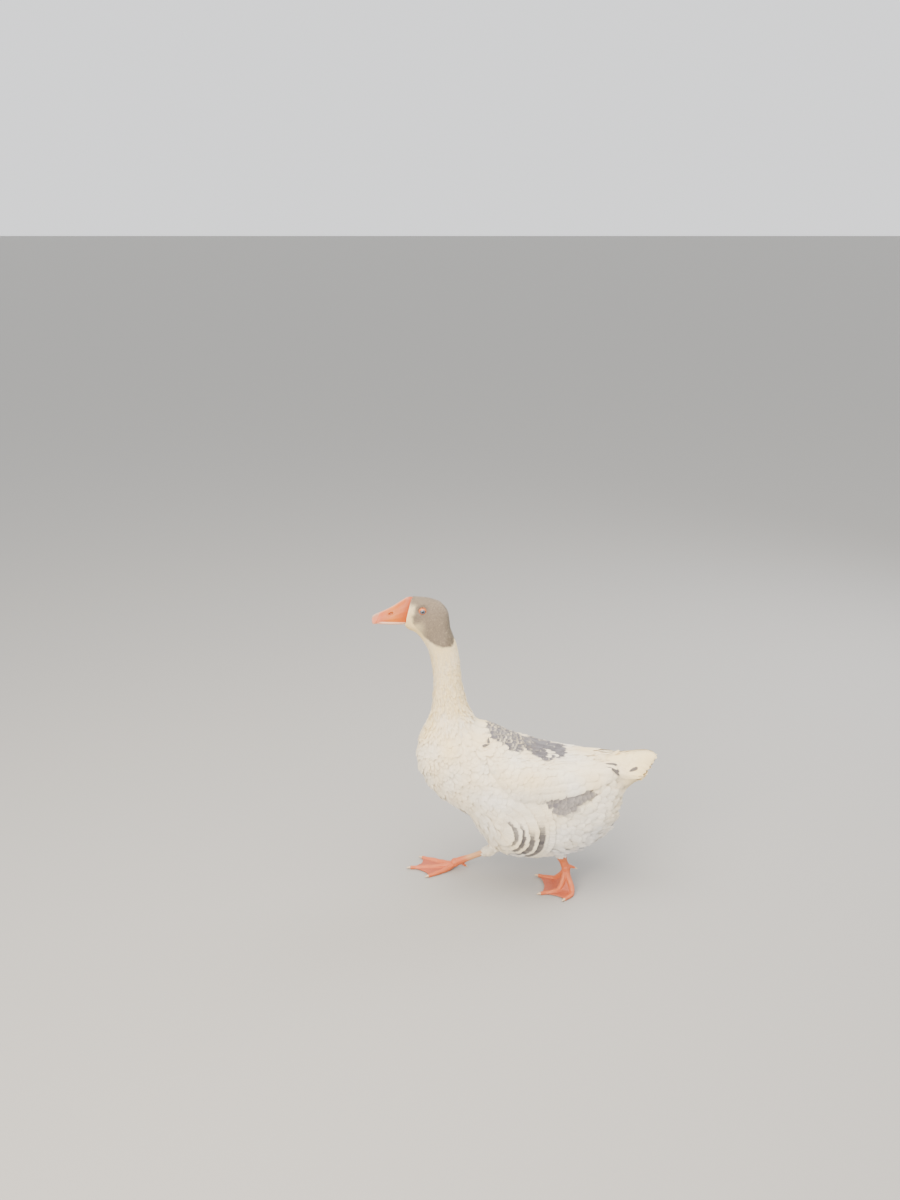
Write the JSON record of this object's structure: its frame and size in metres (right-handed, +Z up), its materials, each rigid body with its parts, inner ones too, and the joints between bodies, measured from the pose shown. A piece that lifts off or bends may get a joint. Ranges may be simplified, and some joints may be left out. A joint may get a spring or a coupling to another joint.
{
  "type": "domestic goose, life-size still model",
  "caption": "Life-size still model of a walking domestic goose, white with a grey head, saddle and flank marks, orange bill and webbed feet.",
  "frame": {"origin": "on the floor, under the middle of the goose's box", "axes": "+Z up; -Y is forward, the way the goose faces; +X is the goose's left side"},
  "size_m": [0.227, 0.5888, 0.6478],
  "materials": {
    "white_plumage": "soft overlapping white feathers",
    "grey_plumage": "short dense grey-brown feathers",
    "bill": "smooth orange keratin with a pink nail",
    "leg": "scaly pinkish orange skin",
    "claw": "pale horn",
    "eye": "wet glass eye, blue-grey iris"
  },
  "bodies": {
    "root": {"head": "grey_plumage", "neck": "white_plumage", "trunk": "white_plumage", "tail": "white_plumage", "wing_left": "white_plumage", "wing_right": "white_plumage", "thigh_left": "white_plumage", "thigh_right": "white_plumage", "upper_bill": "bill", "lower_bill": "bill", "eye_left": "eye", "eye_right": "eye", "shank_left": "leg", "shank_right": "leg", "foot_left": "leg", "foot_right": "leg", "claw_left_inner": "claw", "claw_left_middle": "claw", "claw_left_outer": "claw", "claw_left_hind": "claw", "claw_right_inner": "claw", "claw_right_middle": "claw", "claw_right_outer": "claw", "claw_right_hind": "claw"}
  },
  "joints": []
}
